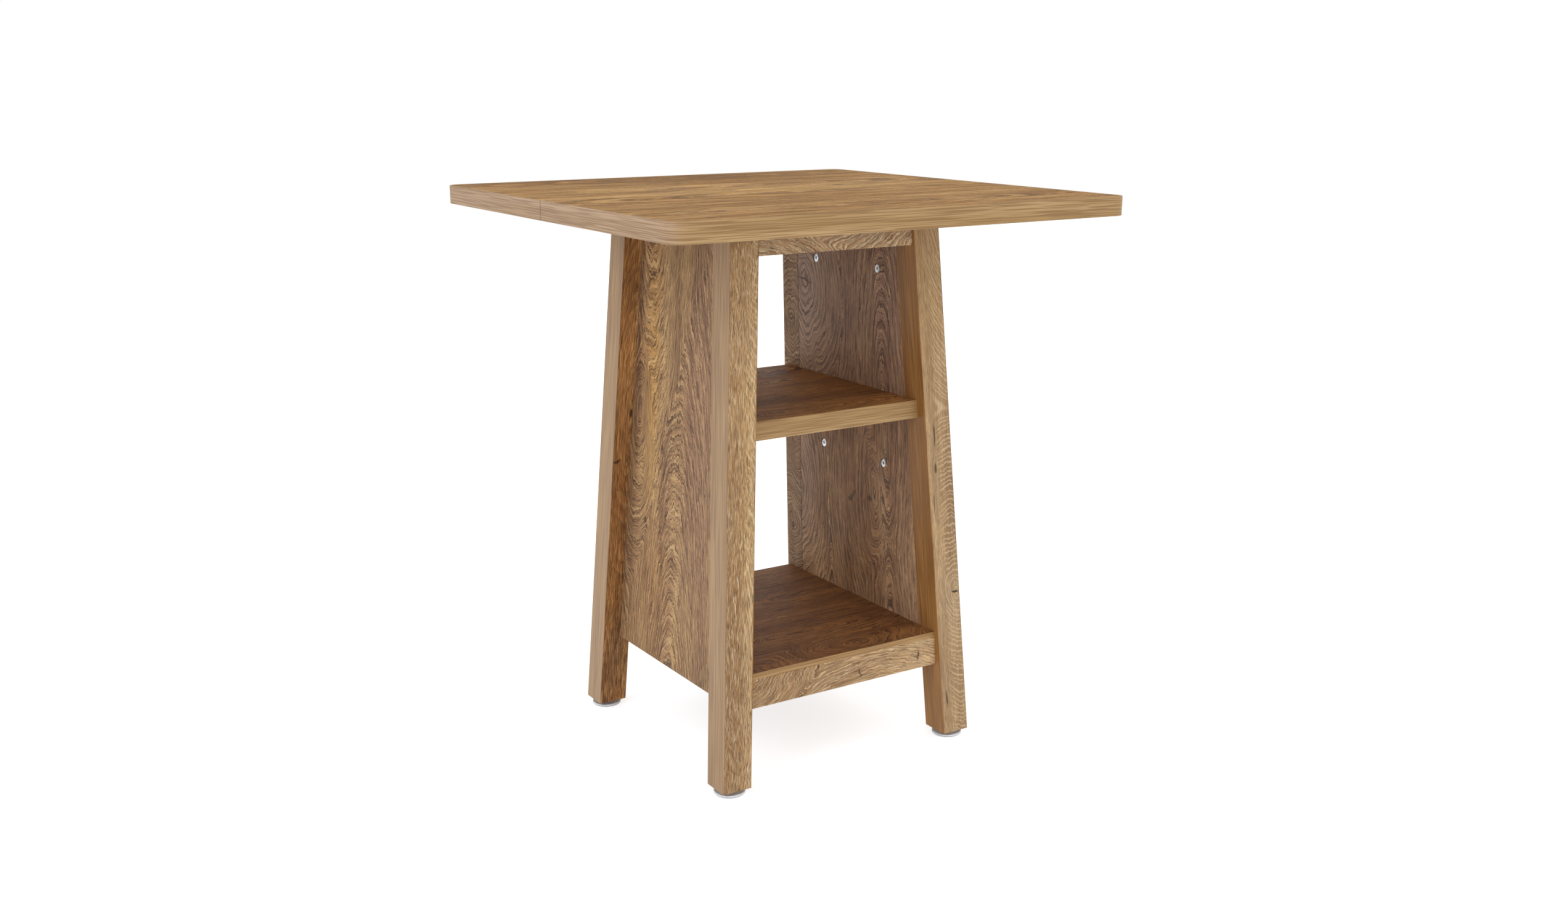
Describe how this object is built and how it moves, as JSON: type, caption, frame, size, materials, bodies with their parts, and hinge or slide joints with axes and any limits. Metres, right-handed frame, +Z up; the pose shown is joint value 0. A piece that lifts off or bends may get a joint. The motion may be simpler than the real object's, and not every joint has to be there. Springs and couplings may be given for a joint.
{
  "type": "bar table",
  "caption": "Square bar table in oak-look board with splayed legs, panelled sides, two open shelf bays and levelling feet.",
  "frame": {"origin": "on the floor under the middle of the table", "axes": "+X to the right along the front edge, +Y from the front to the rear, +Z up"},
  "size_m": [0.8, 0.8, 0.912],
  "materials": {
    "oak_decor_board": "embossed oak-look foil on particle board",
    "oak_decor_band": "printed edge band, satin",
    "zinc_cam": "die-cast zinc, satin",
    "plated_steel": "zinc-plated steel",
    "rubber_sole": "matte",
    "white_plastic_pad": "moulded, satin"
  },
  "bodies": {
    "table": {"top_board": "oak_decor_board", "top_edge_band": "oak_decor_band", "side_panel_left": "oak_decor_board", "side_panel_right": "oak_decor_board", "top_rail_front": "oak_decor_board", "top_rail_rear": "oak_decor_board", "bottom_rail_front": "oak_decor_board", "bottom_rail_rear": "oak_decor_board", "middle_shelf": "oak_decor_board", "middle_shelf_front_band": "oak_decor_band", "middle_shelf_rear_band": "oak_decor_band", "bottom_shelf": "oak_decor_board", "bottom_shelf_front_band": "oak_decor_band", "bottom_shelf_rear_band": "oak_decor_band", "panel_cams": "zinc_cam", "panel_cam_bolts": "plated_steel", "leg_inserts": "zinc_cam", "leg_front_left": "oak_decor_board", "leg_front_left_inner_band": "oak_decor_band", "leg_front_left_outer_band": "oak_decor_band", "leg_front_right": "oak_decor_board", "leg_front_right_inner_band": "oak_decor_band", "leg_front_right_outer_band": "oak_decor_band", "leg_rear_left": "oak_decor_board", "leg_rear_left_inner_band": "oak_decor_band", "leg_rear_left_outer_band": "oak_decor_band", "leg_rear_right": "oak_decor_board", "leg_rear_right_inner_band": "oak_decor_band", "leg_rear_right_outer_band": "oak_decor_band"},
    "pad_front_left": {"foot_sole_front_left": "rubber_sole", "foot_pad_front_left": "white_plastic_pad"},
    "stud_front_left": {"foot_stud_front_left": "plated_steel"},
    "pad_front_right": {"foot_sole_front_right": "rubber_sole", "foot_pad_front_right": "white_plastic_pad"},
    "stud_front_right": {"foot_stud_front_right": "plated_steel"},
    "pad_rear_left": {"foot_sole_rear_left": "rubber_sole", "foot_pad_rear_left": "white_plastic_pad"},
    "stud_rear_left": {"foot_stud_rear_left": "plated_steel"},
    "pad_rear_right": {"foot_sole_rear_right": "rubber_sole", "foot_pad_rear_right": "white_plastic_pad"},
    "stud_rear_right": {"foot_stud_rear_right": "plated_steel"}
  },
  "joints": [
    {"name": "foot_lift_front_left", "type": "slide", "parent": "table", "child": "pad_front_left", "axis": [0, 0, -1], "range_m": [0, 0.01]},
    {"name": "foot_turn_front_left", "type": "hinge", "parent": "pad_front_left", "child": "stud_front_left", "pos_m": [-0.21544, -0.21544, 0.01], "axis": [0, 0, 1], "range_deg": [0, 2880]},
    {"name": "foot_lift_front_right", "type": "slide", "parent": "table", "child": "pad_front_right", "axis": [0, 0, -1], "range_m": [0, 0.01]},
    {"name": "foot_turn_front_right", "type": "hinge", "parent": "pad_front_right", "child": "stud_front_right", "pos_m": [0.21544, -0.21544, 0.01], "axis": [0, 0, 1], "range_deg": [0, 2880]},
    {"name": "foot_lift_rear_left", "type": "slide", "parent": "table", "child": "pad_rear_left", "axis": [0, 0, -1], "range_m": [0, 0.01]},
    {"name": "foot_turn_rear_left", "type": "hinge", "parent": "pad_rear_left", "child": "stud_rear_left", "pos_m": [-0.21544, 0.21544, 0.01], "axis": [0, 0, 1], "range_deg": [0, 2880]},
    {"name": "foot_lift_rear_right", "type": "slide", "parent": "table", "child": "pad_rear_right", "axis": [0, 0, -1], "range_m": [0, 0.01]},
    {"name": "foot_turn_rear_right", "type": "hinge", "parent": "pad_rear_right", "child": "stud_rear_right", "pos_m": [0.21544, 0.21544, 0.01], "axis": [0, 0, 1], "range_deg": [0, 2880]}
  ],
  "couplings": [
    {"joint": "foot_turn_front_left", "follows": "foot_lift_front_left", "rad_per_m": 5026.5},
    {"joint": "foot_turn_front_right", "follows": "foot_lift_front_right", "rad_per_m": 5026.5},
    {"joint": "foot_turn_rear_left", "follows": "foot_lift_rear_left", "rad_per_m": 5026.5},
    {"joint": "foot_turn_rear_right", "follows": "foot_lift_rear_right", "rad_per_m": 5026.5}
  ]
}
